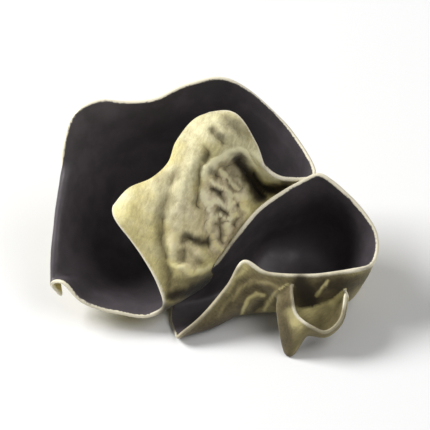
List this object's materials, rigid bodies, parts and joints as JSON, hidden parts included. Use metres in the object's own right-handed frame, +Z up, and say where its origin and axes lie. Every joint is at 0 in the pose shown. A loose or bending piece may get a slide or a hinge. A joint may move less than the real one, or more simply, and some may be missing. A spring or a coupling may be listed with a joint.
{
  "type": "wood ear mushroom",
  "caption": "Picked wood ear mushroom: a thin rubbery sheet curled into a deep bowl, a folded tongue and a side cup, dark and smooth inside, pale and felted outside.",
  "frame": {"origin": "middle of the bounding box's underside, on the surface that the ear rests on", "axes": "+Z up, +X to the right of the side that shows the tongue and both hollows, -Y toward that side"},
  "size_m": [0.0638, 0.0406, 0.0364],
  "materials": {
    "flesh": "damp satin"
  },
  "bodies": {
    "root": {"fruit_body": "flesh"}
  },
  "joints": []
}
